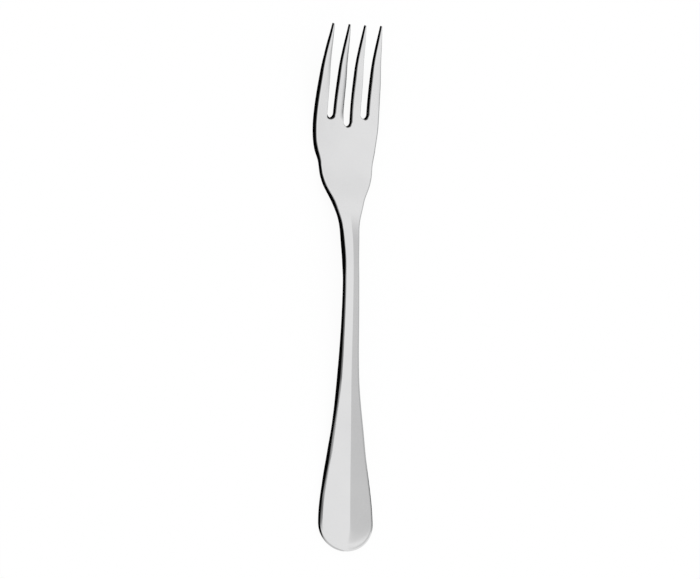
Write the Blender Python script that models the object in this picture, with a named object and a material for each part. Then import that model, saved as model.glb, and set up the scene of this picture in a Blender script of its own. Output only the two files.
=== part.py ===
"""Fish fork: one piece of polished stainless steel, pressed from a single blank.

Metres, +Z up. The fork lies on its back on Z = 0 with the tines towards +Y, and the origin is on
that plane under the middle of the fork's length. Handle, shank, neck, palm and tines are one body,
because the real fork has no seam and nothing on it moves.

The shape follows the way such a fork is made. A plan grid fills the blank's outline and leaves out
the slots between the tines. Each point of it is then pressed to its place on the front and on the
back by the bend along the fork, the gauge of the steel, the ridge of the handle and the hollow of the
palm. Rings of points round the outline join the two faces with a rounded rim.
"""

import math

import bmesh
import bpy
import numpy as np

# Overall
LENGTH = 0.180
TINE_COUNT = 4

# Widths of the handle, each with its distance from the handle's end
HANDLE_WIDTH = 0.0205
END_DEPTH = 0.0093
HANDLE_MID_WIDTH = 0.0141
HANDLE_MID_AT = 0.034
SHANK_WIDTH = 0.0074
SHANK_AT = 0.061

# Widths of the neck and the head, each with its distance from the tips
NECK_WIDTH = 0.0051
NECK_AT = 0.083
THROAT_WIDTH = 0.0065
THROAT_AT = 0.070
FLARE_WIDTH = 0.0112
FLARE_AT = 0.061
SHOULDER_WIDTH = 0.0175
SHOULDER_AT = 0.054
WAIST_START_WIDTH = 0.0191
WAIST_START_AT = 0.0505
WAIST_END_WIDTH = 0.0197
WAIST_END_AT = 0.0468
CHEEK_WIDTH = 0.0224
CHEEK_AT = 0.042
HEAD_WIDTH = 0.0242
HEAD_AT = 0.033
TINE_MID_SPAN = 0.0225

# Tines and the slots between them, from the roots of the outer slots to the tips
TINE_LENGTH = 0.0311
MIDDLE_SLOT_EXTRA = 0.003
SLOT_WIDTH = 0.0031
SLOT_PITCH = 0.0064
TIP_PITCH = 0.0061
TIP_WIDTH = 0.0003
TAPER_LENGTH = 0.028

# Bend along the fork: height of the back above the table
HANDLE_REST_TO = 0.012
HANDLE_RISE = 0.0018
HANDLE_RISE_AT = 0.052
NECK_ARCH = 0.0039
BEND_RISE = 0.0024
BEND_AT = 0.063
HEAD_REST_FROM = 0.046
HEAD_REST_TO = 0.041
TINE_MID_RISE = 0.0044
TIP_RISE = 0.0098

# Gauge of the steel at the edges, square to the bend, and the forms pressed into the front
END_GAUGE = 0.0020
HANDLE_GAUGE = 0.0025
NECK_GAUGE = 0.0028
NECK_GAUGE_AT = 0.076
PALM_GAUGE = 0.0026
TIP_GAUGE = 0.0014
RIDGE_PITCH = math.radians(11)
RIDGE_FROM = 0.0025
RIDGE_FULL_FROM = 0.0108
RIDGE_END_POWER = 0.75
RIDGE_END_SOFTNESS = 0.0011
RIDGE_END_BLEND = 0.0018
RIDGE_BLEND_TO = 0.005
RIDGE_CRISP_FROM = 0.013
RIDGE_FULL_TO = 0.076
RIDGE_GONE_AT = 0.064
PALM_HOLLOW = 0.0003
WAIST_HOLLOW_SHARE = 0.35
HANDLE_EDGE_RADIUS = 0.0013
HEAD_EDGE_RADIUS = 0.0006
BACK_EDGE_RADIUS = 0.0004
FRONT_EDGE_SHARE = 0.65

# Fineness of the mesh
ROW_STEP = 0.0025
END_ROWS = 7
WEB_ROWS = 4
WEB_DEPTH = 0.006
TINE_ROWS = 14
TINE_COLUMNS = 2
ROOT_STEPS = 6
RIM_STEPS = 3
SLOPE_STEP = 0.0001
CREASE_ANGLE = math.radians(20)

STEEL_COLOUR = (0.73, 0.73, 0.73, 1)
STEEL_ROUGHNESS = 0.12

SLOT_COUNT = TINE_COUNT - 1
TINE_WIDTH = SLOT_PITCH - SLOT_WIDTH
TAPER_FROM = LENGTH - TAPER_LENGTH
TIP_SPAN = SLOT_COUNT * TIP_PITCH + TIP_WIDTH
TINE_MID_AT = TINE_LENGTH / 2
TINE_TURNS = np.linspace(0, math.pi, TINE_COLUMNS + 1)
ROOT_TURNS = np.linspace(0, math.pi, ROOT_STEPS + 1)[1:-1]


def smooth_through(*stations):
    """Return a function through (distance, value) stations, level at the first, that never overshoots."""
    at, value = np.array(stations).T
    step = np.diff(at)
    rise = np.diff(value) / step
    slope = np.append(np.zeros(len(rise)), rise[-1])
    for i, (before, after) in enumerate(zip(rise, rise[1:])):
        if before * after > 0:
            slope[i + 1] = 2 * before * after / (before + after)

    def value_at(distance):
        i = int(np.clip(np.searchsorted(at, distance) - 1, 0, len(step) - 1))
        u = min(max((distance - at[i]) / step[i], 0), 1)
        ease = u * u * (3 - 2 * u)
        lead = slope[i] * u * (1 - u) ** 2 - slope[i + 1] * u * u * (1 - u)
        return value[i] + (value[i + 1] - value[i]) * ease + lead * step[i]

    return value_at


def from_tips(distance):
    """Turn a distance from the tips into one from the handle's end."""
    return LENGTH - distance


half_width = smooth_through(
    (END_DEPTH, HANDLE_WIDTH / 2),
    (HANDLE_MID_AT, HANDLE_MID_WIDTH / 2),
    (SHANK_AT, SHANK_WIDTH / 2),
    (from_tips(NECK_AT), NECK_WIDTH / 2),
    (from_tips(THROAT_AT), THROAT_WIDTH / 2),
    (from_tips(FLARE_AT), FLARE_WIDTH / 2),
    (from_tips(SHOULDER_AT), SHOULDER_WIDTH / 2),
    (from_tips(WAIST_START_AT), WAIST_START_WIDTH / 2),
    (from_tips(WAIST_END_AT), WAIST_END_WIDTH / 2),
    (from_tips(CHEEK_AT), CHEEK_WIDTH / 2),
    (from_tips(HEAD_AT), HEAD_WIDTH / 2),
    (from_tips(TINE_MID_AT), TINE_MID_SPAN / 2),
    (LENGTH, TIP_SPAN / 2),
)

back_height = smooth_through(
    (0, 0),
    (HANDLE_REST_TO, 0),
    (HANDLE_RISE_AT, HANDLE_RISE),
    (from_tips(NECK_AT), NECK_ARCH),
    (from_tips(BEND_AT), BEND_RISE),
    (from_tips(HEAD_REST_FROM), 0),
    (from_tips(HEAD_REST_TO), 0),
    (from_tips(TINE_MID_AT), TINE_MID_RISE),
    (LENGTH, TIP_RISE),
)

gauge = smooth_through(
    (0, END_GAUGE),
    (HANDLE_MID_AT, HANDLE_GAUGE),
    (SHANK_AT, HANDLE_GAUGE),
    (from_tips(NECK_GAUGE_AT), NECK_GAUGE),
    (from_tips(FLARE_AT), PALM_GAUGE),
    (from_tips(TINE_MID_AT), PALM_GAUGE),
    (LENGTH, TIP_GAUGE),
)

front_rounding = smooth_through(
    (0, HANDLE_EDGE_RADIUS),
    (HANDLE_MID_AT, HANDLE_EDGE_RADIUS),
    (from_tips(NECK_AT), HEAD_EDGE_RADIUS),
    (LENGTH, HEAD_EDGE_RADIUS),
)

ridge_share = smooth_through(
    (0, 1),
    (from_tips(RIDGE_FULL_TO), 1),
    (from_tips(RIDGE_GONE_AT), 0),
    (LENGTH, 0),
)

ridge_softness = smooth_through(
    (0, RIDGE_END_SOFTNESS),
    (RIDGE_FROM, RIDGE_END_SOFTNESS),
    (RIDGE_FULL_FROM, 0),
    (LENGTH, 0),
)

ridge_blend = smooth_through(
    (0, RIDGE_END_BLEND),
    (RIDGE_BLEND_TO, RIDGE_END_BLEND),
    (RIDGE_CRISP_FROM, 0),
    (LENGTH, 0),
)

hollow_share = smooth_through(
    (0, 0),
    (from_tips(RIDGE_GONE_AT), 0),
    (from_tips(WAIST_END_AT), WAIST_HOLLOW_SHARE),
    (from_tips(HEAD_AT), 1),
    (LENGTH, 0),
)


def slope_reach(y):
    """How far the handle's two slopes reach to each side. It draws in to nothing near the rounded end."""
    away = min(max((RIDGE_FULL_FROM - y) / (RIDGE_FULL_FROM - RIDGE_FROM), 0), 1)
    return half_width(max(y, END_DEPTH)) * (1 - away * away) ** RIDGE_END_POWER


def thickness(x, y):
    """Thickness square to the back, with the handle's two sloping facets and the palm's hollow.

    Near the handle's end the ridge softens and the slopes blend into the flat rim round them.
    """
    reach = half_width(max(y, END_DEPTH))
    inside = slope_reach(y) - math.hypot(x, ridge_softness(y))
    lifted = (inside + math.hypot(inside, ridge_blend(y))) / 2
    ridge = ridge_share(y) * math.tan(RIDGE_PITCH) * lifted
    hollow = hollow_share(y) * PALM_HOLLOW * (1 - (x / reach) ** 2)
    return gauge(y) + ridge - hollow


def bend_angle(y):
    """Angle by which the bend tips the steel up towards the tips."""
    near = max(y - SLOPE_STEP, 0)
    far = min(y + SLOPE_STEP, LENGTH)
    return math.atan2(back_height(far) - back_height(near), far - near)


def bent(x, y, above):
    """Place a point that lies this far above the back, square to the bend."""
    angle = bend_angle(y)
    return x, y - above * math.sin(angle) - LENGTH / 2, back_height(y) + above * math.cos(angle)


def opening_share(y):
    """How far a slot has opened towards its mouth, from 0 to 1 along a parabola."""
    return max((y - TAPER_FROM) / TAPER_LENGTH, 0) ** 2


def root_of(slot):
    """Lowest point of a slot. The slots deepen towards the middle of the fork."""
    outermost = (SLOT_COUNT - 1) / 2
    middle_share = 1 - abs(slot - outermost) / outermost
    return from_tips(TINE_LENGTH) - MIDDLE_SLOT_EXTRA * middle_share


def spring_of(slot):
    """Distance at which a slot's round root meets its straight sides."""
    return root_of(slot) + SLOT_WIDTH / 2


def edge_scale(y):
    """Share of the rim's radii that is left where the tines grow thin."""
    return 1 - (1 - TIP_WIDTH / TINE_WIDTH) * opening_share(y)


def front_edge_radius(y):
    """Radius of the front edge's rounding, which leaves part of the gauge to the wall below it."""
    return min(front_rounding(y), FRONT_EDGE_SHARE * gauge(y)) * edge_scale(y)


def back_edge_radius(y):
    """Radius of the back edge's rounding."""
    return BACK_EDGE_RADIUS * edge_scale(y)


class Plan:
    """The blank seen from above, drawn in from its outline by the inset that a function of y gives."""

    def __init__(self, inset_at):
        self.inset_at = inset_at
        self.points = []
        self.shank = self.add_rows(self.shank_rows())
        self.tines = []
        for tine in range(TINE_COUNT):
            first = tine * (TINE_COLUMNS + ROOT_STEPS)
            foot = self.shank[-1][first : first + TINE_COLUMNS + 1]
            self.tines.append([foot] + self.add_rows(self.tine_rows(tine)))

    def add_rows(self, rows):
        """Keep the points of these rows and return the rows as indices."""
        found = []
        for row in rows:
            found.append(list(range(len(self.points), len(self.points) + len(row))))
            self.points += row
        return found

    def half_width(self, y):
        """Half the blank's width, which the rounded end takes over below END_DEPTH."""
        return half_width(max(y, END_DEPTH)) - self.inset_at(y)

    def slot_edges(self, slot, y):
        """Left and right edge of a slot. Its centre line leans inwards as the tines draw together."""
        root = root_of(slot)
        pitch = SLOT_PITCH + (TIP_PITCH - SLOT_PITCH) * (y - root) / (LENGTH - root)
        centre = (slot - (SLOT_COUNT - 1) / 2) * pitch
        mouth = TIP_PITCH - TIP_WIDTH
        half = (SLOT_WIDTH + (mouth - SLOT_WIDTH) * opening_share(y)) / 2 + self.inset_at(y)
        return centre - half, centre + half

    def tine_edges(self, tine, y):
        """Left and right edge of a tine. The outer tines reach to the fork's own outline."""
        left = self.slot_edges(tine - 1, y)[1] if tine else -self.half_width(y)
        right = self.slot_edges(tine, y)[0] if tine < SLOT_COUNT else self.half_width(y)
        return left, right

    def tine_foot(self, tine):
        """The row of points across the foot of a tine, from the root of one slot to the next."""
        left_y = spring_of(max(tine - 1, 0))
        right_y = spring_of(min(tine, SLOT_COUNT - 1))
        row = []
        for turn in TINE_TURNS:
            share = (1 - math.cos(turn)) / 2
            y = left_y + (right_y - left_y) * share
            left, right = self.tine_edges(tine, y)
            row.append((left + (right - left) * share, y))
        return row

    def root_arc(self, slot):
        """The points of a slot's round root, between its two sides."""
        y = spring_of(slot)
        left, right = self.slot_edges(slot, y)
        radius = (right - left) / 2
        return [(left + radius * (1 - math.cos(t)), y - radius * math.sin(t)) for t in ROOT_TURNS]

    def crest_row(self):
        """The palm's top row: across each tine's foot and down round each slot's root."""
        row = []
        for tine in range(TINE_COUNT):
            row += self.tine_foot(tine)
            if tine < SLOT_COUNT:
                row += self.root_arc(tine)
        return row

    def shank_rows(self):
        """Rows from the handle's rounded end to the crest row, all with as many columns."""
        crest = self.crest_row()
        even_shares = np.linspace(-1, 1, len(crest))
        palm_shares = np.array([x / self.half_width(y) for x, y in crest])
        straight_from = END_DEPTH + ROW_STEP
        web_from = from_tips(TINE_LENGTH) - MIDDLE_SLOT_EXTRA - WEB_DEPTH
        rows = []
        for q in np.linspace(0, 1, END_ROWS, endpoint=False):
            turns = even_shares * math.pi / 2
            shares = (1 - q) * np.sin(turns) + q * even_shares
            end_arc = END_DEPTH - (END_DEPTH - self.inset_at(0)) * np.cos(turns)
            ys = (1 - q) * end_arc + q * straight_from
            rows.append([(share * self.half_width(y), y) for share, y in zip(shares, ys)])
        row_count = math.ceil((web_from - straight_from) / ROW_STEP) + 1
        for y in np.linspace(straight_from, web_from, row_count):
            u = (y - straight_from) / (web_from - straight_from)
            shares = even_shares + (palm_shares - even_shares) * u * u * (3 - 2 * u)
            rows.append([(share * self.half_width(y), y) for share in shares])
        for u in np.linspace(0, 1, WEB_ROWS + 1)[1:-1]:
            ys = [web_from + u * (y - web_from) for _, y in crest]
            rows.append([(share * self.half_width(y), y) for share, y in zip(palm_shares, ys)])
        return rows + [crest]

    def tine_rows(self, tine):
        """Rows from above a tine's foot to its rounded tip."""
        foot = self.tine_foot(tine)
        tip_inset = self.inset_at(LENGTH)
        tip_radius = TIP_WIDTH / 2 - tip_inset
        rows = []
        for u in np.linspace(0, 1, TINE_ROWS + 1)[1:]:
            row = []
            for turn, (_, foot_y) in zip(TINE_TURNS, foot):
                tip_y = LENGTH - tip_inset - tip_radius * (1 - math.sin(turn))
                y = foot_y + u * (tip_y - foot_y)
                left, right = self.tine_edges(tine, y)
                row.append((left + (right - left) * (1 - math.cos(turn)) / 2, y))
            rows.append(row)
        return rows

    def faces(self):
        """Four-sided faces between neighbouring rows of every band, anticlockwise from above."""
        found = []
        for band in [self.shank] + self.tines:
            for low, high in zip(band, band[1:]):
                for i in range(len(low) - 1):
                    found.append((low[i], low[i + 1], high[i + 1], high[i]))
        return found

    def outline(self):
        """The points round the whole blank, anticlockwise from the left of the handle's end."""
        crest = self.shank[-1]
        loop = list(self.shank[0])
        loop += [row[-1] for row in self.shank[1:-1]]
        for tine in reversed(range(TINE_COUNT)):
            rows = self.tines[tine]
            loop += [row[-1] for row in rows[:-1]]
            loop += reversed(rows[-1])
            loop += [row[0] for row in reversed(rows[:-1])]
            foot_at = tine * (TINE_COLUMNS + ROOT_STEPS)
            loop += reversed(crest[max(foot_at - ROOT_STEPS + 1, 0) : foot_at])
        loop += [row[0] for row in reversed(self.shank[1:-1])]
        return loop


def pressed_front(turn):
    """The plan at one turn of the front edge's rounding, and the pressed place of each of its points.

    At a quarter turn the plan is the front face itself, and at no turn it is the outline, where the
    rounding has come down to the wall.
    """
    plan = Plan(lambda y: front_edge_radius(y) * (1 - math.cos(turn)))
    drop = 1 - math.sin(turn)
    return plan, [bent(x, y, thickness(x, y) - front_edge_radius(y) * drop) for x, y in plan.points]


def pressed_back(turn):
    """The same for the back edge's rounding and the back face."""
    plan = Plan(lambda y: back_edge_radius(y) * (1 - math.cos(turn)))
    lift = 1 - math.sin(turn)
    return plan, [bent(x, y, back_edge_radius(y) * lift) for x, y in plan.points]


def make_steel():
    """Polished stainless steel, a neutral bright grey."""
    steel = bpy.data.materials.new("polished_steel")
    steel.use_nodes = True
    shader = steel.node_tree.nodes["Principled BSDF"]
    shader.inputs["Base Color"].default_value = STEEL_COLOUR
    shader.inputs["Metallic"].default_value = 1
    shader.inputs["Roughness"].default_value = STEEL_ROUGHNESS
    return steel


def make_fork(steel):
    """Press the blank: two faces from the plan, joined by rings round the rounded rim."""
    quarter_turns = np.linspace(math.pi / 2, 0, RIM_STEPS + 1)
    levels = [pressed_front(turn) for turn in quarter_turns]
    levels += [pressed_back(turn) for turn in reversed(quarter_turns)]
    loop = levels[0][0].outline()
    bm = bmesh.new()
    rings = []
    for level, (_, places) in enumerate(levels):
        is_face = level in (0, len(levels) - 1)
        kept = range(len(places)) if is_face else loop
        rings.append({i: bm.verts.new(places[i]) for i in kept})
    for corners in levels[0][0].faces():
        bm.faces.new([rings[0][i] for i in corners])
        bm.faces.new([rings[-1][i] for i in reversed(corners)])
    for upper, lower in zip(rings, rings[1:]):
        for i, j in zip(loop, loop[1:] + loop[:1]):
            bm.faces.new((upper[i], lower[i], lower[j], upper[j]))
    mesh = bpy.data.meshes.new("fork")
    bm.to_mesh(mesh)
    bm.free()
    mesh.shade_smooth()
    mesh.set_sharp_from_angle(angle=CREASE_ANGLE)
    mesh.materials.append(steel)
    fork = bpy.data.objects.new("fork", mesh)
    bpy.context.scene.collection.objects.link(fork)
    return fork


def main():
    for old in list(bpy.data.objects):
        bpy.data.objects.remove(old)
    make_fork(make_steel())


main()
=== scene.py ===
"""Fish fork: the looks of one piece of polished stainless steel, lying on a white table.

Metres, +Z up, tines towards +Y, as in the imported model. The fork is made as the real one is. Its blank is
punched flat: mesh code works out the outline, the slots and the rings of the rounded rim. A node tree then
presses the blank, which gives it the bend, the gauge, the handle's ridge and the palm's hollow. The studio
is a white table in even, soft light, with black cloths and grey cards that only the steel sees. They draw
the steel's walls dark and shade its faces.
"""

import logging
import math
from collections.abc import Callable
from dataclasses import dataclass
from enum import Enum
from functools import cached_property, partial
from typing import Any, ClassVar

import bpy
import numpy as np
from mathutils import Matrix, Vector


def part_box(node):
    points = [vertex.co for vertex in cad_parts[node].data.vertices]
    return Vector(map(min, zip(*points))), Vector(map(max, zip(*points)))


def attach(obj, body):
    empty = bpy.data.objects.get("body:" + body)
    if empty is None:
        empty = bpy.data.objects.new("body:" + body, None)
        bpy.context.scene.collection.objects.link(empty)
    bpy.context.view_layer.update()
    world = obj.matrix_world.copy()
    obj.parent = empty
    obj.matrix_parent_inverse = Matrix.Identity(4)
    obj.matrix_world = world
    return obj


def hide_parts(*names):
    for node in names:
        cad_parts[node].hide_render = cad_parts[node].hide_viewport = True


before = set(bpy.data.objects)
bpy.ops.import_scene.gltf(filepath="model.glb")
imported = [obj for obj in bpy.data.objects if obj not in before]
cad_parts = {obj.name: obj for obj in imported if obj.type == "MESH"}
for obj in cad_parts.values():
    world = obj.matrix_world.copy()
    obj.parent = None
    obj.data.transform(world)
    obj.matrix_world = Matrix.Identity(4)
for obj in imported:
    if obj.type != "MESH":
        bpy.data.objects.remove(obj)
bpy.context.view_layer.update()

MM = 0.001
IMAGE_WIDTH = 700

log = logging.getLogger("fish_fork")

Pairs = tuple[tuple[float, float], ...]
Triples = tuple[tuple[float, float, float], ...]


def in_mm(*rows: tuple[float, ...]) -> tuple[tuple[float, ...], ...]:
    """Turn rows of millimetres into rows of metres."""
    return tuple(tuple(value * MM for value in row) for row in rows)


def ease(share: np.ndarray) -> np.ndarray:
    """Bend a share from 0 to 1 so that it leaves and arrives smoothly."""
    return share * share * (3 - 2 * share)


def linear(colour: str) -> tuple[float, float, float, float]:
    """Turn an sRGB hex colour into a linear one.

    Args:
        colour: A hash sign and six hex digits.

    Returns:
        Red, green and blue in linear light, and an alpha of 1.
    """
    shares = [int(colour[i : i + 2], 16) / 255 for i in (1, 3, 5)]
    red, green, blue = [s / 12.92 if s <= 0.04045 else ((s + 0.055) / 1.055) ** 2.4 for s in shares]
    return red, green, blue, 1.0


def add_node(
    tree: bpy.types.NodeTree, kind: str, inputs: dict | None = None, **settings: Any
) -> bpy.types.Node:
    """Add a node to a tree, with its settings, its values and its links.

    Args:
        tree: The tree that gets the node.
        kind: Blender's name for the kind of node.
        inputs: For a socket's name or number, a value or the output that feeds it.
        **settings: The node's own properties.

    Returns:
        The new node.
    """
    node = tree.nodes.new(kind)
    for name, value in settings.items():
        setattr(node, name, value)
    for socket, value in (inputs or {}).items():
        if isinstance(value, bpy.types.NodeSocket):
            tree.links.new(value, node.inputs[socket])
        else:
            node.inputs[socket].default_value = value
    return node


def link_object(name: str, data: bpy.types.ID) -> bpy.types.Object:
    """Make an object for some data and put it in the scene."""
    made = bpy.data.objects.new(name, data)
    bpy.context.scene.collection.objects.link(made)
    return made


def mark_points(mesh: bpy.types.Mesh, name: str, values: np.ndarray) -> None:
    """Give each point of a mesh its value of a named attribute."""
    attribute = mesh.attributes.new(name, "FLOAT", "POINT")
    attribute.data.foreach_set("value", values.astype(np.float32))


def join_rows(grid: np.ndarray) -> np.ndarray:
    """Join neighbouring rows of point numbers into four-sided faces, anticlockwise from above."""
    corners = [grid[:-1, :-1], grid[:-1, 1:], grid[1:, 1:], grid[1:, :-1]]
    return np.stack(corners, axis=-1).reshape(-1, 4)


class Profile:
    """A smooth curve through (distance, value) stations, level at the first, that never overshoots."""

    def __init__(self, *stations: tuple[float, float]) -> None:
        """Work out the slope at each station.

        Args:
            *stations: Distance from the handle's end and the value there, in order.
        """
        self.at, self.value = np.array(stations).T
        rise = np.diff(self.value) / np.diff(self.at)
        before, after = rise[:-1], rise[1:]
        keeps_on = before * after > 0
        total = np.where(keeps_on, before + after, 1)
        inner = np.where(keeps_on, 2 * before * after / total, 0)
        self.slope = np.concatenate(([0], inner, rise[-1:]))

    def __call__(self, distance: np.ndarray) -> np.ndarray:
        """Read the curve.

        Args:
            distance: Distances from the handle's end.

        Returns:
            The value at each distance, held level before the first station and after the last.
        """
        i = np.clip(np.searchsorted(self.at, distance) - 1, 0, len(self.at) - 2)
        step = self.at[i + 1] - self.at[i]
        u = np.clip((distance - self.at[i]) / step, 0, 1)
        lead = self.slope[i] * u * (1 - u) ** 2 - self.slope[i + 1] * u * u * (1 - u)
        return self.value[i] + (self.value[i + 1] - self.value[i]) * ease(u) + lead * step


class Side(Enum):
    """The two faces of the steel."""

    BACK = 0
    FRONT = 1


@dataclass
class Tines:
    """The tines and the slots between them, with lengths from the outer slots' roots to the tips."""

    fork_length: float
    count: int = 4
    length: float = 31.1 * MM
    middle_slot_extra: float = 3.0 * MM
    slot_width: float = 3.1 * MM
    slot_pitch: float = 6.4 * MM
    tip_pitch: float = 6.1 * MM
    tip_width: float = 0.3 * MM
    taper_length: float = 28.0 * MM
    # The slots' roots and the tips aren't quite level. From the left, each is this far towards the tips.
    root_lifts: tuple[float, ...] = (0.0, 0.56 * MM, 0.55 * MM)
    tip_lifts: tuple[float, ...] = (0.09 * MM, 0.18 * MM, 0.26 * MM, 0.53 * MM)
    lift_reach: float = 10.0 * MM
    # The slots' sides aren't quite straight. Each is set this far to the right at its root, middle and end.
    left_bows: Triples = in_mm((0, -0.25, 0), (0.14, 0.14, 0.04), (0, -0.08, 0))
    right_bows: Triples = in_mm((0.05, 0.07, 0.16), (0.32, -0.03, 0.04), (0.155, -0.02, 0.12))
    # The wheel rounds the slots' right sides, and leaves the left ones this share of the rounding.
    sharp_share: float = 0.35

    @property
    def slot_count(self) -> int:
        """Number of slots."""
        return self.count - 1

    @property
    def tip_span(self) -> float:
        """Width across the outer tines at the tips."""
        return self.slot_count * self.tip_pitch + self.tip_width

    def opening(self, y: np.ndarray) -> np.ndarray:
        """How far the slots have opened towards their mouths, from 0 to 1 along a parabola."""
        return np.clip((y - self.fork_length + self.taper_length) / self.taper_length, 0, None) ** 2

    def edge_scale(self, y: np.ndarray) -> np.ndarray:
        """Share of the rim's rounding that is left where the tines grow thin."""
        tine_width = self.slot_pitch - self.slot_width
        return 1 - (1 - self.tip_width / tine_width) * self.opening(y)

    def root(self, slot: int) -> float:
        """Lowest point of a slot. The slots deepen towards the middle of the fork."""
        outermost = (self.slot_count - 1) / 2
        middle_share = 1 - abs(slot - outermost) / outermost
        return self.fork_length - self.length - self.middle_slot_extra * middle_share

    @property
    def lowest_root(self) -> float:
        """Root of the deepest slot."""
        return min(self.root(slot) for slot in range(self.slot_count))

    def spring(self, slot: int) -> float:
        """Distance at which a slot's round root meets its straight sides."""
        return self.root(slot) + self.slot_width / 2

    def slot_edges(self, slot: int, y: np.ndarray) -> tuple[np.ndarray, np.ndarray]:
        """Find the sides of a slot, whose centre line leans inwards as the tines draw together.

        Args:
            slot: Number of the slot, from the left.
            y: Distances from the handle's end.

        Returns:
            The left and the right side's x.
        """
        root = self.root(slot)
        along = (y - root) / (self.fork_length - root)
        pitch = self.slot_pitch + (self.tip_pitch - self.slot_pitch) * along
        centre = (slot - (self.slot_count - 1) / 2) * pitch
        mouth = self.tip_pitch - self.tip_width
        half = (self.slot_width + (mouth - self.slot_width) * self.opening(y)) / 2
        left_bow, right_bow = (
            at_root * (1 - along) * (1 - 2 * along)
            + 4 * half_way * along * (1 - along)
            + at_end * along * (2 * along - 1)
            for at_root, half_way, at_end in (self.left_bows[slot], self.right_bows[slot])
        )
        return centre - half + left_bow, centre + half + right_bow

    def lift(self, plan: np.ndarray) -> np.ndarray:
        """Work out how far the uneven punching has set each point towards the tips.

        Args:
            plan: The x of each point and its distance from the handle's end.

        Returns:
            The shift of each point, nothing in the handle and neck.
        """
        x, y = plan.T
        slots, tines = np.arange(self.slot_count), np.arange(self.count)
        at_roots = np.interp(x, (slots - slots.mean()) * self.slot_pitch, self.root_lifts)
        at_tips = np.interp(x, (tines - tines.mean()) * self.tip_pitch, self.tip_lifts)
        rise = np.clip((y - self.lowest_root) / self.lift_reach + 1, 0, 1)
        along = np.clip((y - self.lowest_root) / (self.fork_length - self.lowest_root), 0, 1)
        return ease(rise) * (at_roots + (at_tips - at_roots) * along)


@dataclass
class Outline:
    """The blank's outer edge: widths, each with its distance from the handle's end or from the tips."""

    tines: Tines
    head_width: float
    handle_width: float = 20.5 * MM
    end_depth: float = 9.3 * MM
    handle_mid_width: float = 14.1 * MM
    handle_mid_at: float = 34.0 * MM
    shank_width: float = 7.4 * MM
    shank_at: float = 61.0 * MM
    neck_width: float = 5.1 * MM
    neck_from_tips: float = 83.0 * MM
    throat_width: float = 6.5 * MM
    throat_from_tips: float = 70.0 * MM
    flare_width: float = 11.2 * MM
    flare_from_tips: float = 61.0 * MM
    shoulder_width: float = 17.5 * MM
    shoulder_from_tips: float = 54.0 * MM
    waist_start_width: float = 19.1 * MM
    waist_start_from_tips: float = 50.5 * MM
    waist_end_width: float = 19.7 * MM
    waist_end_from_tips: float = 46.8 * MM
    cheek_width: float = 22.4 * MM
    cheek_from_tips: float = 42.0 * MM
    head_from_tips: float = 33.0 * MM
    tine_mid_span: float = 22.5 * MM

    @cached_property
    def half(self) -> Profile:
        """Half the width along the fork, past the handle's rounded end."""
        tips = self.tines.fork_length
        named = ("neck", "throat", "flare", "shoulder", "waist_start", "waist_end", "cheek", "head")
        from_tips = [getattr(self, f"{name}_from_tips") for name in named]
        widths = [getattr(self, f"{name}_width") for name in named]
        return Profile(
            (self.end_depth, self.handle_width / 2),
            (self.handle_mid_at, self.handle_mid_width / 2),
            (self.shank_at, self.shank_width / 2),
            *((tips - away, width / 2) for away, width in zip(from_tips, widths)),
            (tips - self.tines.length / 2, self.tine_mid_span / 2),
            (tips, self.tines.tip_span / 2),
        )

    def reach(self, y: np.ndarray) -> np.ndarray:
        """Half the width, held level along the handle's rounded end."""
        return self.half(np.maximum(y, self.end_depth))


@dataclass
class Fineness:
    """How finely the blank is divided."""

    row_step: float = 0.7 * MM
    end_rows: int = 24
    web_rows: int = 22
    web_power: float = 1.6
    web_depth: float = 6.0 * MM
    tine_rows: int = 64
    tine_columns: int = 10
    root_steps: int = 24
    rim_steps: int = 6


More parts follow.
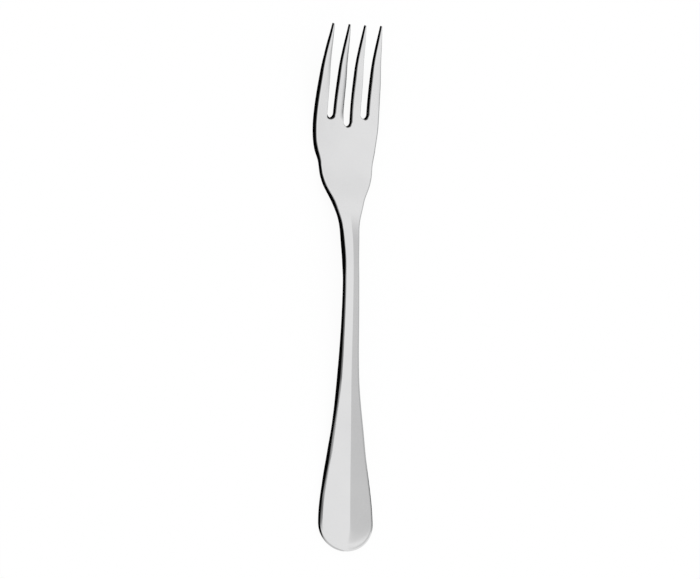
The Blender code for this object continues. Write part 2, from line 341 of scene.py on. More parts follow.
@dataclass
class Blank:
    """The flat blank at one ring of its rounded rim: the whole plan, drawn in from its edge by an inset."""

    outline: Outline
    fine: Fineness
    # For distances from the handle's end: how far the plan is drawn in, and its outer edge then set out.
    inset: Callable[[np.ndarray], np.ndarray]
    swell: Callable[[np.ndarray], np.ndarray]

    def __post_init__(self) -> None:
        """Lay out the rows of points of the handle, neck and palm, and those of each tine."""
        fine = self.fine
        self.tines = self.outline.tines
        tine_turns = np.linspace(0, math.pi, fine.tine_columns + 1)
        self.tine_shares = (1 - np.cos(tine_turns)) / 2
        self.tip_rounding = 1 - np.sin(tine_turns)
        self.root_turns = np.linspace(0, math.pi, fine.root_steps + 1)[1:-1]
        shank = self.shank_rows()
        rows = list(shank)
        columns = len(shank[0])
        self.shank = np.arange(len(shank) * columns).reshape(-1, columns)
        self.bands = [self.shank]
        count = self.shank.size
        for tine in range(self.tines.count):
            first = tine * (fine.tine_columns + fine.root_steps)
            foot = self.shank[-1:, first : first + fine.tine_columns + 1]
            made = self.tine_rows(tine)
            indices = count + np.arange(len(made) * foot.size).reshape(-1, foot.size)
            self.bands.append(np.vstack([foot, indices]))
            rows += made
            count += indices.size
        self.points = np.vstack(rows)
        on_tines = np.tile(2 * self.tine_shares - 1, fine.tine_rows * self.tines.count)
        self.across_tine = np.concatenate([np.zeros(self.shank.size), on_tines])
        numbers = np.repeat(np.arange(self.tines.count), fine.tine_rows * (fine.tine_columns + 1))
        self.tine_number = np.concatenate([np.full(self.shank.size, -1), numbers])
        on_crest = [self.rim_shares(0)]
        for slot in range(self.tines.slot_count):
            on_crest += [self.root_shares(), self.rim_shares(slot + 1)]
        on_tines = [np.tile(self.rim_shares(tine), fine.tine_rows) for tine in range(self.tines.count)]
        self.rim_share = np.concatenate([np.ones(self.shank[:-1].size), *on_crest, *on_tines])

    def rim_shares(self, tine: int) -> np.ndarray:
        """Share of the rim's rounding across a tine, whose right side is sharper where it faces a slot."""
        right = self.tines.sharp_share if tine < self.tines.slot_count else 1.0
        return 1 + (right - 1) * self.tine_shares

    def root_shares(self) -> np.ndarray:
        """Share of the rim's rounding round a slot's root, from its left side to its right one."""
        return 1 + (self.tines.sharp_share - 1) * (1 + np.cos(self.root_turns)) / 2

    def half_width(self, y: np.ndarray) -> np.ndarray:
        """Half the drawn-in width, which the rounded end takes over below its depth."""
        return self.outline.reach(y) + self.swell(y) - self.inset(y)

    def tine_edges(self, tine: int, y: np.ndarray) -> tuple[np.ndarray, np.ndarray]:
        """Find the sides of a tine. The outer tines reach to the fork's own outline.

        Args:
            tine: Number of the tine, from the left.
            y: Distances from the handle's end.

        Returns:
            The left and the right side's x.
        """
        left, right = -self.half_width(y), self.half_width(y)
        if tine > 0:
            left = self.tines.slot_edges(tine - 1, y)[1] + self.inset(y)
        if tine < self.tines.slot_count:
            right = self.tines.slot_edges(tine, y)[0] - self.inset(y) * self.tines.sharp_share
        return left, right

    def across(self, tine: int, y: np.ndarray) -> np.ndarray:
        """Place a row of points across a tine, at the given distance for each point."""
        left, right = self.tine_edges(tine, y)
        return np.column_stack([left + (right - left) * self.tine_shares, y])

    def tine_foot(self, tine: int) -> np.ndarray:
        """Place the row across a tine's foot, from the root of one slot to the next."""
        left_y = self.tines.spring(max(tine - 1, 0))
        right_y = self.tines.spring(min(tine, self.tines.slot_count - 1))
        return self.across(tine, left_y + (right_y - left_y) * self.tine_shares)

    def root_arc(self, slot: int) -> np.ndarray:
        """Place the points of a slot's round root, between its two sides."""
        y = np.array(self.tines.spring(slot))
        left, right = self.tines.slot_edges(slot, y)
        radius = (right - left) / 2 + self.inset(y) * self.root_shares()
        x = (left + right) / 2 - radius * np.cos(self.root_turns)
        return np.column_stack([x, y - radius * np.sin(self.root_turns)])

    def crest_row(self) -> np.ndarray:
        """Place the palm's top row: across each tine's foot and down round each slot's root."""
        parts = [self.tine_foot(0)]
        for slot in range(self.tines.slot_count):
            parts += [self.root_arc(slot), self.tine_foot(slot + 1)]
        return np.vstack(parts)

    def shank_rows(self) -> list[np.ndarray]:
        """Place the rows from the handle's rounded end to the palm's top.

        Returns:
            The rows, all with as many points.
        """
        crest = self.crest_row()
        even = np.linspace(-1, 1, len(crest))
        palm = crest[:, 0] / self.half_width(crest[:, 1])
        end_depth = self.outline.end_depth
        straight_from = end_depth + self.fine.row_step
        web_from = self.tines.lowest_root - self.fine.web_depth
        turns = even * math.pi / 2
        end_arc = end_depth - (end_depth - self.inset(np.array(0.0))) * np.cos(turns)
        rows = []
        for q in np.linspace(0, 1, self.fine.end_rows, endpoint=False):
            y = (1 - q) * end_arc + q * straight_from
            shares = (1 - q) * np.sin(turns) + q * even
            rows.append(np.column_stack([shares * self.half_width(y), y]))
        row_count = math.ceil((web_from - straight_from) / self.fine.row_step) + 1
        for u in np.linspace(0, 1, row_count):
            y = np.full(len(even), straight_from + u * (web_from - straight_from))
            shares = even + (palm - even) * ease(u)
            rows.append(np.column_stack([shares * self.half_width(y), y]))
        for u in np.linspace(0, 1, self.fine.web_rows + 1)[1:-1]:
            y = crest[:, 1] + (1 - u) ** self.fine.web_power * (web_from - crest[:, 1])
            rows.append(np.column_stack([palm * self.half_width(y), y]))
        return rows + [crest]

    def tine_rows(self, tine: int) -> list[np.ndarray]:
        """Place the rows from above a tine's foot to its rounded tip.

        Args:
            tine: Number of the tine, from the left.

        Returns:
            The rows, all with as many points.
        """
        foot_y = self.tine_foot(tine)[:, 1]
        tip = self.tines.fork_length
        tip_inset = self.inset(np.array(tip))
        tip_y = tip - tip_inset - (self.tines.tip_width / 2 - tip_inset) * self.tip_rounding
        shares = np.linspace(0, 1, self.fine.tine_rows + 1)[1:]
        return [self.across(tine, foot_y + u * (tip_y - foot_y)) for u in shares]

    def faces(self) -> np.ndarray:
        """Join the rows of the shank and of each tine."""
        return np.vstack([join_rows(band) for band in self.bands])

    def edge(self) -> np.ndarray:
        """Follow the points round the whole blank, anticlockwise from the left of the handle's end."""
        crest = self.shank[-1]
        loop = [self.shank[0], self.shank[1:-1, -1]]
        for tine in reversed(range(self.tines.count)):
            band = self.bands[tine + 1]
            loop += [band[:-1, -1], band[-1, ::-1], band[-2::-1, 0]]
            foot_at = tine * (self.fine.tine_columns + self.fine.root_steps)
            if tine:
                loop.append(crest[foot_at - self.fine.root_steps + 1 : foot_at][::-1])
        return np.concatenate(loop + [self.shank[-2:0:-1, 0]])


@dataclass
class Press:
    """What pressing gives the blank: heights and gauges, each with its distance along the fork."""

    # What the node tree reads from the blank's points.
    MARKS: ClassVar[tuple[str, ...]] = (
        "back_height", "bend_angle", "gauge", "reach", "ridge_softness", "ridge_share", "hollow_share",
        "roof_reach", "roof_blend", "buffed_off", "rim_drop", "is_front",
    )
    # What the node tree works out: each step's name, its operation and what that is done to.
    STEPS: ClassVar[tuple[tuple[str | float, ...], ...]] = (
        # The ridge is a roof with a soft top, which runs out softly at the ends of its two slopes.
        ("x_squared", "MULTIPLY", "x", "x"),
        ("soft_squared", "MULTIPLY", "ridge_softness", "ridge_softness"),
        ("off_ridge_squared", "ADD", "x_squared", "soft_squared"),
        ("off_ridge", "SQRT", "off_ridge_squared"),
        ("inside", "SUBTRACT", "roof_reach", "off_ridge"),
        ("blend_squared", "MULTIPLY", "roof_blend", "roof_blend"),
        ("bent_squared", "MULTIPLY_ADD", "inside", "inside", "blend_squared"),
        ("bent", "SQRT", "bent_squared"),
        ("doubled", "ADD", "inside", "bent"),
        ("slope", "TANGENT", "Ridge Pitch"),
        ("half_slope", "MULTIPLY", "slope", 0.5),
        ("rise", "MULTIPLY", "doubled", "half_slope"),
        # The palm is a shallow bowl.
        ("share", "DIVIDE", "x", "reach"),
        ("share_squared", "MULTIPLY", "share", "share"),
        ("bowl", "SUBTRACT", 1.0, "share_squared"),
        ("hollow", "MULTIPLY", "bowl", "Palm Hollow"),
        ("dip", "MULTIPLY", "hollow", "hollow_share"),
        # The front stands a gauge above the back, and both fall away round the rim.
        ("roof", "MULTIPLY_ADD", "rise", "ridge_share", "gauge"),
        ("dipped", "SUBTRACT", "roof", "dip"),
        ("face", "SUBTRACT", "dipped", "buffed_off"),
        ("front", "SUBTRACT", "face", "rim_drop"),
        ("is_back", "SUBTRACT", 1.0, "is_front"),
        ("back", "MULTIPLY", "rim_drop", "is_back"),
        ("above", "MULTIPLY_ADD", "front", "is_front", "back"),
        # The bend tips the gauge back as it climbs.
        ("sine", "SINE", "bend_angle"),
        ("cosine", "COSINE", "bend_angle"),
        ("forward", "MULTIPLY", "above", "sine"),
        ("backward", "MULTIPLY", "forward", -1.0),
        ("height", "MULTIPLY_ADD", "above", "cosine", "back_height"),
    )
    outline: Outline
    handle_rest_to: float = 12.0 * MM
    handle_rise: float = 1.8 * MM
    handle_rise_at: float = 52.0 * MM
    neck_arch: float = 3.9 * MM
    bend_rise: float = 2.4 * MM
    bend_from_tips: float = 63.0 * MM
    head_rest_from_tips: float = 46.0 * MM
    head_rest_to_tips: float = 41.0 * MM
    tine_mid_rise: float = 4.4 * MM
    tip_rise: float = 9.8 * MM
    end_gauge: float = 2.0 * MM
    handle_gauge: float = 2.5 * MM
    neck_gauge: float = 2.8 * MM
    neck_gauge_from_tips: float = 76.0 * MM
    palm_gauge: float = 2.6 * MM
    thinning_from_tips: float = 20.0 * MM
    tine_gauge: float = 2.2 * MM
    tine_gauge_from_tips: float = 12.0 * MM
    thin_gauge: float = 1.87 * MM
    tip_thinning_from_tips: float = 5.0 * MM
    tip_gauge: float = 1.4 * MM
    ridge_pitch: float = math.radians(11)
    ridge_softness: float = 0.1 * MM
    ridge_end_softness: float = 1.1 * MM
    roof_starts: float = 2.5 * MM
    roof_full_from: float = 10.8 * MM
    roof_end_power: float = 0.75
    roof_blend: float = 1.8 * MM
    roof_blend_to: float = 5.0 * MM
    roof_crisp_from: float = 13.0 * MM
    ridge_full_from_tips: float = 76.0 * MM
    ridge_gone_from_tips: float = 64.0 * MM
    palm_hollow: float = 0.3 * MM
    waist_hollow_share: float = 0.35
    # Buffing by hand lowers the tines' right edges: from the left, how far above each foot and at each tip.
    tine_falls: Pairs = in_mm((0, 0.55), (0.60, 0.52), (0, 0), (0.06, 0))
    fall_rise: float = 4.0 * MM
    fall_power: float = 2.2
    # The slots' roots get a painted dark reflection in the steel's colour, which reaches this far from each
    # root's edge.
    painted_root_shade_reach: float = 0.9 * MM
    # How strongly each root's painted dark reflection shows, and how far round to the left it goes, in
    # radii from its middle.
    painted_root_shade_strengths: tuple[float, ...] = (1.32, 1.0, 1.0)
    painted_root_shade_lefts: tuple[float, ...] = (-1.2, -0.5, -0.15)
    painted_root_shade_shift: float = 0.2 * MM
    painted_root_shade_fade: float = 0.5
    # Filing and buffing leave each face a little wider or narrower than the punched outline, and the head
    # isn't quite straight. Pairs of a distance from the tips and how far the face stands out or the head
    # sways to the right.
    front_swell: Pairs = in_mm(
        (154, 0), (145, -0.08), (136, 0), (114, 0), (104, 0.12), (96, 0.18), (88, 0.18), (81, 0.10),
        (75, 0.08), (69, 0), (60, 0), (54, 0.12), (50.5, 0.15), (46.8, 0.24), (43, -0.06), (39, 0.05),
        (34, 0), (20, 0), (12.5, -0.09), (6, 0),
    )
    back_swell: Pairs = in_mm(
        (160, 0), (152, 0.14), (146, 0.04), (139, -0.16), (132.5, -0.03), (126, 0.17), (121, 0.22),
        (113, 0.08), (103, 0), (88, -0.02), (81, 0.25), (76.5, 0.30), (69.5, 0.02), (65, -0.20), (60, 0),
        (56, -0.17), (52, -0.08), (47, 0.05), (40, 0.14), (33, 0.16), (22, 0.12), (16, 0), (11, -0.10),
        (6, 0),
    )
    head_sway: Pairs = in_mm((63, 0), (56, -0.22), (48, 0), (46, 0), (40, -0.16), (34, 0))
    handle_edge_radius: float = 1.3 * MM
    head_edge_radius: float = 0.6 * MM
    back_edge_radius: float = 0.4 * MM
    front_edge_share: float = 0.65
    slope_step: float = 0.1 * MM

    def __post_init__(self) -> None:
        """Draw the curves along the fork."""
        shape, tines = self.outline, self.outline.tines
        tips = tines.fork_length
        neck = tips - shape.neck_from_tips
        tine_mid = tips - tines.length / 2
        ridge_gone = tips - self.ridge_gone_from_tips
        self.back = Profile(
            (0, 0),
            (self.handle_rest_to, 0),
            (self.handle_rise_at, self.handle_rise),
            (neck, self.neck_arch),
            (tips - self.bend_from_tips, self.bend_rise),
            (tips - self.head_rest_from_tips, 0),
            (tips - self.head_rest_to_tips, 0),
            (tine_mid, self.tine_mid_rise),
            (tips, self.tip_rise),
        )
        self.gauge = Profile(
            (0, self.end_gauge),
            (shape.handle_mid_at, self.handle_gauge),
            (shape.shank_at, self.handle_gauge),
            (tips - self.neck_gauge_from_tips, self.neck_gauge),
            (tips - shape.flare_from_tips, self.palm_gauge),
            (tips - self.thinning_from_tips, self.palm_gauge),
            (tips - self.tine_gauge_from_tips, self.tine_gauge),
            (tips - self.tip_thinning_from_tips, self.thin_gauge),
            (tips, self.tip_gauge),
        )
        wide, fine = self.handle_edge_radius, self.head_edge_radius
        self.front_radius = Profile((0, wide), (shape.handle_mid_at, wide), (neck, fine), (tips, fine))
        self.ridge = Profile((0, 1), (tips - self.ridge_full_from_tips, 1), (ridge_gone, 0), (tips, 0))
        self.hollow = Profile(
            (0, 0),
            (ridge_gone, 0),
            (tips - shape.waist_end_from_tips, self.waist_hollow_share),
            (tips - shape.head_from_tips, 1),
            (tips, 0),
        )
        blend, soft, crisp = self.roof_blend, self.ridge_end_softness, self.ridge_softness
        self.blend = Profile((0, blend), (self.roof_blend_to, blend), (self.roof_crisp_from, 0), (tips, 0))
        self.softness = Profile(
            (0, soft), (self.roof_starts, soft), (self.roof_full_from, crisp), (tips, crisp)
        )
        self.front_edge, self.back_edge, self.sway = (
            Profile((0, 0), *((tips - at, shift) for at, shift in stations), (tips, 0))
            for stations in (self.front_swell, self.back_swell, self.head_sway)
        )
        self.falls = []
        for tine, (foot_fall, tip_fall) in enumerate(self.tine_falls):
            foot = tines.spring(min(tine, tines.slot_count - 1))
            self.falls.append(Profile((foot, 0), (foot + self.fall_rise, foot_fall), (tips, tip_fall)))

    def bend_angle(self, y: np.ndarray) -> np.ndarray:
        """Angle by which the bend tips the steel up towards the tips."""
        near = np.maximum(y - self.slope_step, 0)
        far = np.minimum(y + self.slope_step, self.outline.tines.fork_length)
        return np.arctan((self.back(far) - self.back(near)) / (far - near))

    def roof_reach(self, y: np.ndarray) -> np.ndarray:
        """How far the handle's two slopes reach to each side, drawn in to nothing near the rounded end."""
        away = np.clip((self.roof_full_from - y) / (self.roof_full_from - self.roof_starts), 0, 1)
        return self.outline.reach(y) * (1 - away**2) ** self.roof_end_power

    def edge_radius(self, side: Side, y: np.ndarray) -> np.ndarray:
        """Radius of the rim's rounding on one side of the steel, which shrinks towards the tips."""
        radius = self.back_edge_radius
        if side is Side.FRONT:
            radius = np.minimum(self.front_radius(y), self.front_edge_share * self.gauge(y))
        return radius * self.outline.tines.edge_scale(y)

    def inset(self, side: Side, turn: float, y: np.ndarray) -> np.ndarray:
        """How far a ring of the rim is drawn in from the outline, at one turn of its rounding."""
        return self.edge_radius(side, y) * (1 - math.cos(turn))

    def swell(self, side: Side) -> Profile:
        """Take the curve by which one face stands out from the punched outline."""
        return self.front_edge if side is Side.FRONT else self.back_edge

    def marks(self, y: np.ndarray) -> dict[str, np.ndarray]:
        """Work out what the node tree reads from the blank's points.

        Args:
            y: Distance of each point from the handle's end.

        Returns:
            One array for each named attribute.
        """
        return {
            "back_height": self.back(y),
            "bend_angle": self.bend_angle(y),
            "gauge": self.gauge(y),
            "reach": self.outline.reach(y),
            "ridge_softness": self.softness(y),
            "ridge_share": self.ridge(y),
            "hollow_share": self.hollow(y),
            "roof_reach": self.roof_reach(y),
            "roof_blend": self.blend(y),
        }

    def buffed_off(self, y: np.ndarray, across: np.ndarray, tine: np.ndarray) -> np.ndarray:
        """Work out how far buffing has lowered the face along the tines' right edges.

        Args:
            y: Distance of each point from the handle's end.
            across: Place of each point across its tine, from -1 to 1, or 0 off the tines.
            tine: Number of the tine that each point is on, or -1.

        Returns:
            The drop at each point.
        """
        drop = np.zeros(len(y))
        for number, profile in enumerate(self.falls):
            drop = np.where(tine == number, profile(y), drop)
        return drop * np.maximum(across, 0) ** self.fall_power * self.outline.tines.edge_scale(y)

    def painted_root_shade(self, plan: np.ndarray) -> np.ndarray:
        """Work out how near each point is to a slot's round root, where a dark reflection is painted into
        the colour.

        Args:
            plan: The x of each point and its distance from the handle's end.

        Returns:
            A share for each point, about 1 at the bottom of a root and 0 away from the roots.
        """
        x, y = plan.T
        tines = self.outline.tines
        share = np.zeros(len(y))
        for slot in range(tines.slot_count):
            spring = tines.spring(slot)
            left, right = tines.slot_edges(slot, spring)
            radius = (right - left) / 2
            centre = (left + right) / 2 - self.painted_root_shade_shift
            away = np.hypot(x - centre, y - spring) - radius
            below = np.clip((spring - y) / radius, 0, 1)
            side = np.clip(((x - centre) / radius - self.painted_root_shade_lefts[slot]) / self.painted_root_shade_fade, 0, 1)
            near = np.clip(1 - away / self.painted_root_shade_reach, 0, 1)
            share = np.maximum(share, self.painted_root_shade_strengths[slot] * below * side * near)
        return share

    def tree(self) -> bpy.types.NodeTree:
        """Build the node tree that lifts each point of the flat blank to its pressed height.

        Returns:
            The tree, with the ridge's pitch, the palm's hollow and the steel as inputs.
        """
        tree = bpy.data.node_groups.new("press_fork", "GeometryNodeTree")
        sockets = {
            "Geometry": "NodeSocketGeometry",
            "Ridge Pitch": "NodeSocketFloat",
            "Palm Hollow": "NodeSocketFloat",
            "Steel": "NodeSocketMaterial",
        }
        for name, kind in sockets.items():
            tree.interface.new_socket(name=name, in_out="INPUT", socket_type=kind)
        tree.interface.new_socket(name="Geometry", in_out="OUTPUT", socket_type="NodeSocketGeometry")

        given = add_node(tree, "NodeGroupInput").outputs
        place = add_node(tree, "GeometryNodeInputPosition").outputs["Position"]
        known = {name: given[name] for name in ("Ridge Pitch", "Palm Hollow")}
        known["x"] = add_node(tree, "ShaderNodeSeparateXYZ", {"Vector": place}).outputs["X"]
        for name in self.MARKS:
            mark = add_node(tree, "GeometryNodeInputNamedAttribute", {"Name": name})
            known[name] = mark.outputs["Attribute"]
        for name, operation, *terms in self.STEPS:
            inputs = {i: known.get(term, term) for i, term in enumerate(terms)}
            known[name] = add_node(tree, "ShaderNodeMath", inputs, operation=operation).outputs[0]
        lift = add_node(tree, "ShaderNodeCombineXYZ", {"Y": known["backward"], "Z": known["height"]})

        inputs = {"Geometry": given["Geometry"], "Offset": lift.outputs["Vector"]}
        pressed = add_node(tree, "GeometryNodeSetPosition", inputs).outputs["Geometry"]
        real = add_node(tree, "GeometryNodeRealizeInstances", {"Geometry": pressed}).outputs["Geometry"]
        inputs = {"Geometry": real, "Material": given["Steel"]}
        dressed = add_node(tree, "GeometryNodeSetMaterial", inputs).outputs["Geometry"]
        add_node(tree, "NodeGroupOutput", {"Geometry": dressed})
        return tree

    def apply(self, blank: bpy.types.Object, steel: bpy.types.Material) -> None:
        """Press a blank and leave it as a plain mesh.

        Args:
            blank: The flat blank, with its marks as attributes.
            steel: The finish that the pressed fork gets.
        """
        tree = self.tree()
        values = {"Ridge Pitch": self.ridge_pitch, "Palm Hollow": self.palm_hollow, "Steel": steel}
        press = blank.modifiers.new("press", "NODES")
        press.node_group = tree
        for socket in tree.interface.items_tree:
            if socket.in_out == "INPUT" and socket.name in values:
                press[socket.identifier] = values[socket.name]
        depsgraph = bpy.context.evaluated_depsgraph_get()
        pressed = bpy.data.meshes.new_from_object(
            blank.evaluated_get(depsgraph), preserve_all_data_layers=True, depsgraph=depsgraph
        )
        blank.modifiers.remove(press)
        blank.data = pressed


@dataclass(frozen=True)
class PolishedSteel:
    """Stainless steel, pressed from sheet and then buffed along its length.

    It gives the eye a bright, neutral grey with no colour of its own, whose tones come from the room. The
    buffing leaves faint lines along the fork. The slots' roots get a painted dark reflection in their
    colour, and the walls, which the punch burnishes, are smoother than the faces.
    """

    colour: str = "#E4E4E4"
    cloud_colour: str = "#D9D9DA"
    # Near-black painted dark reflection for the slots' roots, mixed in by the root shade attribute.
    painted_root_shade_colour: str = "#2C2C2D"
    painted_root_shade_from: float = 0.25
    painted_root_shade_to: float = 0.55
    roughness: float = 0.12
    line_roughness: float = 0.05
    wall_smoothing: float = 0.06
    # Real buffing lines are a few hundredths of a millimetre apart. They are drawn coarser, to show.
    line_spacing: float = 0.35 * MM
    line_length: float = 22.0 * MM
    line_depth: float = 0.004 * MM
    line_detail: float = 3.0
    cloud_size: float = 14.0 * MM
    cloud_detail: float = 2.0

    def material(self) -> bpy.types.Material:
        """Build the material.

        Returns:
            A material whose roughness and bump follow the buffing, and whose colour has clouds and a
            painted dark reflection in the slots' roots.
        """
        steel = bpy.data.materials.new("buffed_stainless_steel")
        steel.use_nodes = True
        tree = steel.node_tree
        shader = tree.nodes["Principled BSDF"]
        shader.inputs["Metallic"].default_value = 1.0

        place = add_node(tree, "ShaderNodeTexCoord").outputs["Object"]
        stretch = (1 / self.line_spacing, 1 / self.line_length, 1 / self.line_spacing)
        along = add_node(tree, "ShaderNodeMapping", {"Vector": place, "Scale": stretch}).outputs["Vector"]
        inputs = {"Vector": along, "Scale": 1.0, "Detail": self.line_detail}
        lines = add_node(tree, "ShaderNodeTexNoise", inputs).outputs["Fac"]
        inputs = {"Vector": place, "Scale": 1 / self.cloud_size, "Detail": self.cloud_detail}
        clouds = add_node(tree, "ShaderNodeTexNoise", inputs).outputs["Fac"]
        wall = add_node(tree, "ShaderNodeAttribute", attribute_name="wall_share").outputs["Fac"]
        painted_root_shade = add_node(tree, "ShaderNodeAttribute", attribute_name="painted_root_shade_share").outputs["Fac"]

        inputs = {0: clouds, 6: linear(self.colour), 7: linear(self.cloud_colour)}
        buffed = add_node(tree, "ShaderNodeMix", inputs, data_type="RGBA").outputs[2]
        # Paint a dark reflection into the slots' roots over the buffed colour.
        inputs = {"Value": painted_root_shade, "From Min": self.painted_root_shade_from, "From Max": self.painted_root_shade_to}
        painted_shade_amount = add_node(tree, "ShaderNodeMapRange", inputs).outputs["Result"]
        inputs = {0: painted_shade_amount, 6: buffed, 7: linear(self.painted_root_shade_colour)}
        tone = add_node(tree, "ShaderNodeMix", inputs, data_type="RGBA").outputs[2]
        inputs = {
            "Value": lines,
            "To Min": self.roughness - self.line_roughness / 2,
            "To Max": self.roughness + self.line_roughness / 2,
        }
        on_face = add_node(tree, "ShaderNodeMapRange", inputs).outputs["Result"]
        inputs = {0: wall, 1: -self.wall_smoothing, 2: on_face}
        roughness = add_node(tree, "ShaderNodeMath", inputs, operation="MULTIPLY_ADD").outputs[0]
        inputs = {"Height": lines, "Distance": self.line_depth, "Strength": 1.0}
        bump = add_node(tree, "ShaderNodeBump", inputs).outputs["Normal"]
        tree.links.new(tone, shader.inputs["Base Color"])
        tree.links.new(roughness, shader.inputs["Roughness"])
        tree.links.new(bump, shader.inputs["Normal"])
        return steel


@dataclass
class Fork:
    """The fork: one blank, punched, pressed and buffed."""

    outline: Outline
    press: Press
    finish: PolishedSteel
    fine: Fineness

    @classmethod
    def from_node(cls, node: str) -> "Fork":
        """Take the fork's overall sizes from its solid, and the rest from the fields' own values."""
        low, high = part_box(node)
        size = high - low
        outline = Outline(Tines(size.y), size.x)
        return cls(outline, Press(outline), PolishedSteel(), Fineness())

    def rings(self) -> list[tuple[Side, float]]:
        """List the rings of the rim from the front face to the back one, by side and turn of rounding."""
        turns = np.linspace(math.pi / 2, 0, self.fine.rim_steps + 1)
        return [(Side.FRONT, turn) for turn in turns] + [(Side.BACK, turn) for turn in turns[::-1]]

    def punch(self) -> bpy.types.Object:
        """Make the flat blank, with every ring of its rim in one plane and its marks as attributes.

        Returns:
            The blank, whose two faces and rim are already joined.
        """
        press, tines, rings = self.press, self.outline.tines, self.rings()
        blanks = [
            Blank(self.outline, self.fine, partial(press.inset, side, turn), press.swell(side))
            for side, turn in rings
        ]
        edge, faces = blanks[0].edge(), blanks[0].faces()
        # The first and the last ring are whole faces. Those between are only loops of points round the rim.
        between = len(rings) - 2
        kept = [slice(None)] + [edge] * between + [slice(None)]
        plans = [blank.points[keep] for blank, keep in zip(blanks, kept)]
        first = np.cumsum([0] + [len(plan) for plan in plans[:-1]])
        around = [edge] + [np.arange(len(edge))] * between + [edge]
        loops = [start + ring for start, ring in zip(first, around)]
        quads = [faces, first[-1] + faces[:, ::-1]]
        for upper, lower in zip(loops, loops[1:]):
            quads.append(np.column_stack([upper, lower, np.roll(lower, -1), np.roll(upper, -1)]))

        plan = np.vstack(plans)
        x, y = plan.T
        sizes = [len(plan) for plan in plans]
        sides, turns = zip(*rings)
        radius = np.concatenate([press.edge_radius(side, plan[:, 1]) for side, plan in zip(sides, plans)])
        rim_share, across, number = (
            np.concatenate([getattr(blank, name)[keep] for blank, keep in zip(blanks, kept)])
            for name in ("rim_share", "across_tine", "tine_number")
        )
        is_front = np.repeat([side.value for side in sides], sizes)
        wall_share = np.repeat(np.cos(turns), sizes)
        marks = press.marks(y) | {
            "rim_drop": radius * np.repeat(1 - np.sin(turns), sizes) * rim_share,
            "is_front": is_front,
            "buffed_off": press.buffed_off(y, across, number),
            "wall_share": wall_share,
            # The painted dark reflection goes only on the front and the walls, not on the back face.
            "painted_root_shade_share": press.painted_root_shade(plan) * np.maximum(is_front, wall_share),
        }
        along = y + tines.lift(plan) - tines.fork_length / 2
        flat = np.column_stack([x + press.sway(y), along, np.zeros(len(plan))])
        mesh = bpy.data.meshes.new("fork")
        mesh.from_pydata(flat.tolist(), [], np.vstack(quads).tolist())
        for name, values in marks.items():
            mark_points(mesh, name, values)
        return link_object("polished_fork", mesh)

    def build(self) -> bpy.types.Object:
        """Punch, press and finish the fork, and put it in the place of its solid.

        Returns:
            The finished piece.
        """
        piece = self.punch()
        self.press.apply(piece, self.finish.material())
        piece.data.shade_smooth()
        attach(piece, "root")
        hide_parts("fork")
        return piece


@dataclass(frozen=True)
class Card:
    """A strip of card or cloth along the fork that only the steel sees, shaded from place to place."""

    STEPS: ClassVar[int] = 8
    name: str
    # The x and z of its two long edges.
    near_edge: tuple[float, float]
    far_edge: tuple[float, float]
    # Places along the fork, each with the shade at the near edge and at the far one.
    shades: Triples

    def build(self) -> bpy.types.Object:
        """Put the card in its place and hide it from everything but reflections."""
        at, near_shade, far_shade = np.array(self.shades).T
        stretches = [np.linspace(low, high, self.STEPS, endpoint=False) for low, high in zip(at, at[1:])]
        y = np.append(np.concatenate(stretches), at[-1])
        share = np.linspace(0, 1, self.STEPS + 1)
        rows, columns = np.meshgrid(y, share, indexing="ij")
        shade = (1 - columns) * np.interp(rows, at, near_shade) + columns * np.interp(rows, at, far_shade)
        x, z = (near + columns * (far - near) for near, far in zip(self.near_edge, self.far_edge))
        points = np.stack([x, rows, z], axis=-1).reshape(-1, 3)
        index = np.arange(rows.size).reshape(rows.shape)
        mesh = bpy.data.meshes.new(self.name)
        mesh.from_pydata(points.tolist(), [], join_rows(index).tolist())
        mark_points(mesh, "shade", shade.ravel())
        paper = bpy.data.materials.new(self.name)
        paper.use_nodes = True
        tree = paper.node_tree
        tree.nodes.remove(tree.nodes["Principled BSDF"])
        strength = add_node(tree, "ShaderNodeAttribute", attribute_name="shade").outputs["Fac"]
        glow = add_node(tree, "ShaderNodeEmission", {"Strength": strength}).outputs["Emission"]
        tree.links.new(glow, tree.nodes["Material Output"].inputs["Surface"])
        mesh.materials.append(paper)
        card = link_object(self.name, mesh)
        for ray in ("camera", "diffuse", "transmission", "shadow"):
            setattr(card, f"visible_{ray}", False)
        return card


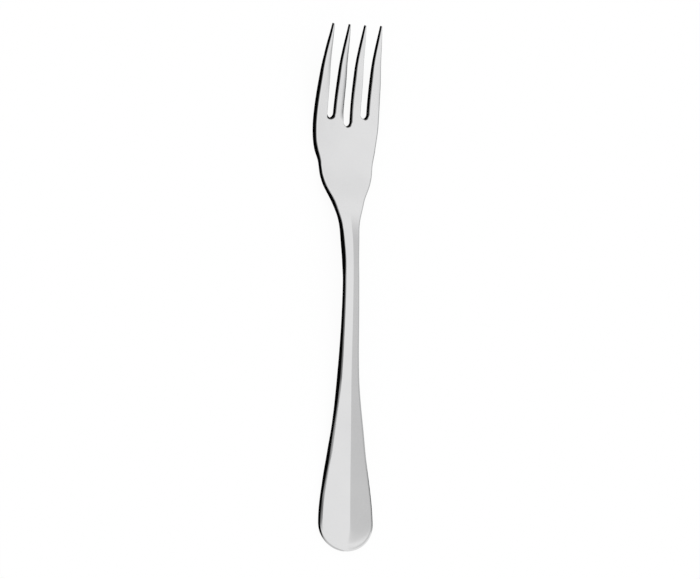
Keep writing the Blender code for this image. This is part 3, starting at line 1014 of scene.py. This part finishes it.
@dataclass
class Studio:
    """A white table in even, soft light, with the cloths and cards that shade cutlery in a catalogue."""

    light_colour: str = "#FFFFFF"
    table_size: float = 4.0
    table_colour: str = "#FFFFFF"
    table_glow: float = 0.93
    table_drop: float = 0.2 * MM
    cloth_drop: float = 0.1 * MM
    card_away: float = 0.5
    left_far_top: float = 0.27
    left_far_shades: Triples = (
        (0.11, 0.04, 0.50), (0.14, 0.02, 0.40), (0.18, 0.01, 0.06), (1.50, 0.01, 0.06),
    )
    left_near_top: float = 0.70
    left_near_shades: Triples = (
        (-0.60, 1.0, 1.0), (-0.35, 1.0, 1.0), (-0.03, 0.28, 0.60), (0.015, 0.22, 0.52),
        (0.045, 0.10, 0.36), (0.065, 0.12, 0.40), (0.085, 0.30, 0.75), (0.11, 0.12, 0.60),
    )
    white_strip_x: float = 0.3
    white_strip_top: float = 0.12
    white_strip_shades: Triples = ((-0.80, 1.0, 1.0), (-0.10, 1.0, 1.0))
    right_card_top: float = 0.88
    right_card_shades: Triples = (
        (-1.50, 1.0, 1.0), (-0.90, 1.0, 1.0), (-0.15, 0.46, 1.0), (1.50, 0.46, 1.0),
    )
    cloth_right: float = 0.06
    head_cloth_shades: Triples = ((0.045, 0.002, 0.002), (1.50, 0.002, 0.002))
    left_cloth_shades: Triples = (
        (-0.130, 0.7, 0.7), (-0.0884, 0.7, 0.7), (-0.0852, 0.002, 0.002), (0.045, 0.002, 0.002),
    )
    right_cloth_shades: Triples = (
        (-0.130, 0.93, 0.93), (-0.084, 0.93, 0.93), (-0.080, 0.0, 0.0),
        (-0.064, 0.0, 0.0), (-0.056, 0.55, 0.55), (0.045, 0.55, 0.55),
    )

    def table(self) -> bpy.types.Object:
        """Lay the white table, which glows for the eye and in reflections and still takes a shadow."""
        half = self.table_size / 2
        mesh = bpy.data.meshes.new("table")
        corners = [(-half, -half), (half, -half), (half, half), (-half, half)]
        mesh.from_pydata([(x, y, -self.table_drop) for x, y in corners], [], [(0, 1, 2, 3)])
        white = bpy.data.materials.new("white_table")
        white.use_nodes = True
        tree = white.node_tree
        tree.nodes.remove(tree.nodes["Principled BSDF"])
        path = add_node(tree, "ShaderNodeLightPath").outputs
        seen = path["Is Camera Ray"]
        for ray in ("Is Glossy Ray", "Is Transmission Ray"):
            seen = add_node(tree, "ShaderNodeMath", {0: seen, 1: path[ray]}, operation="MAXIMUM").outputs[0]
        inputs = {0: seen, 1: self.table_glow}
        share = add_node(tree, "ShaderNodeMath", inputs, operation="MULTIPLY").outputs[0]
        colour = {"Color": linear(self.table_colour)}
        paint = add_node(tree, "ShaderNodeBsdfDiffuse", colour).outputs["BSDF"]
        glow = add_node(tree, "ShaderNodeEmission", colour).outputs["Emission"]
        mixed = add_node(tree, "ShaderNodeMixShader", {0: share, 1: paint, 2: glow}).outputs["Shader"]
        tree.links.new(mixed, tree.nodes["Material Output"].inputs["Surface"])
        mesh.materials.append(white)
        table = link_object("table", mesh)
        return table

    def cards(self) -> list[Card]:
        """List the cloths under the fork and the cards that stand beside it."""
        low, away, strip_x = -self.cloth_drop, self.card_away, self.white_strip_x
        return [
            Card("head_cloth", (-away, low), (self.cloth_right, low), self.head_cloth_shades),
            Card("left_cloth", (-away, low), (0, low), self.left_cloth_shades),
            Card("right_cloth", (0, low), (self.cloth_right, low), self.right_cloth_shades),
            Card("left_far_card", (-away, 0), (-away, self.left_far_top), self.left_far_shades),
            Card("left_near_card", (-away, 0), (-away, self.left_near_top), self.left_near_shades),
            Card("white_strip", (strip_x, 0), (strip_x, self.white_strip_top), self.white_strip_shades),
            Card("right_card", (away, 0), (away, self.right_card_top), self.right_card_shades),
        ]

    def light(self) -> bpy.types.World:
        """Light the scene evenly and softly from all round."""
        world = bpy.data.worlds.new("studio")
        bpy.context.scene.world = world
        world.use_nodes = True
        world.node_tree.nodes["Background"].inputs["Color"].default_value = linear(self.light_colour)
        return world

    def build(self) -> None:
        """Set up the table, the cards and the light."""
        self.table()
        for card in self.cards():
            card.build()
        self.light()
        bpy.context.scene.view_settings.view_transform = "Standard"


@dataclass
class Camera:
    """The photograph's view: from the fork's left and a little from its handle, through a long lens."""

    to_left: float = math.radians(28)
    to_handle: float = math.radians(9)
    distance: float = 5.0
    sees_to: float = 50.0
    pixels_per_metre: float = 2936.0
    sensor: float = 36.0 * MM
    aim_x: float = 2.43 * MM
    aim_y: float = 0.30 * MM
    roll: float = math.radians(0.15)

    def build(self) -> bpy.types.Object:
        """Place the camera.

        Returns:
            The scene's camera.
        """
        data = bpy.data.cameras.new("camera")
        data.sensor_width = self.sensor / MM
        data.lens = self.sensor * self.distance * self.pixels_per_metre / IMAGE_WIDTH / MM
        data.clip_end = self.sees_to
        right = Vector((math.cos(self.to_left), 0, math.sin(self.to_left)))
        leaning = Vector((-math.sin(self.to_left), 0, math.cos(self.to_left)))
        back = leaning * math.cos(self.to_handle) - Vector((0, math.sin(self.to_handle), 0))
        turn = Matrix((right, back.cross(right), back)).transposed() @ Matrix.Rotation(-self.roll, 3, "Z")
        camera = link_object("camera", data)
        camera.location = Vector((self.aim_x, self.aim_y, 0)) + back * self.distance
        camera.rotation_euler = turn.to_euler()
        bpy.context.scene.camera = camera
        return camera


def main() -> None:
    """Build the camera, the studio and the fork, and report each piece."""
    logging.basicConfig(level=logging.INFO, format="%(name)s: %(message)s")
    Camera().build()
    Studio().build()
    piece = Fork.from_node("fork").build()
    log.info("%s: %d faces", piece.name, len(piece.data.polygons))


if __name__ == "__main__":
    main()
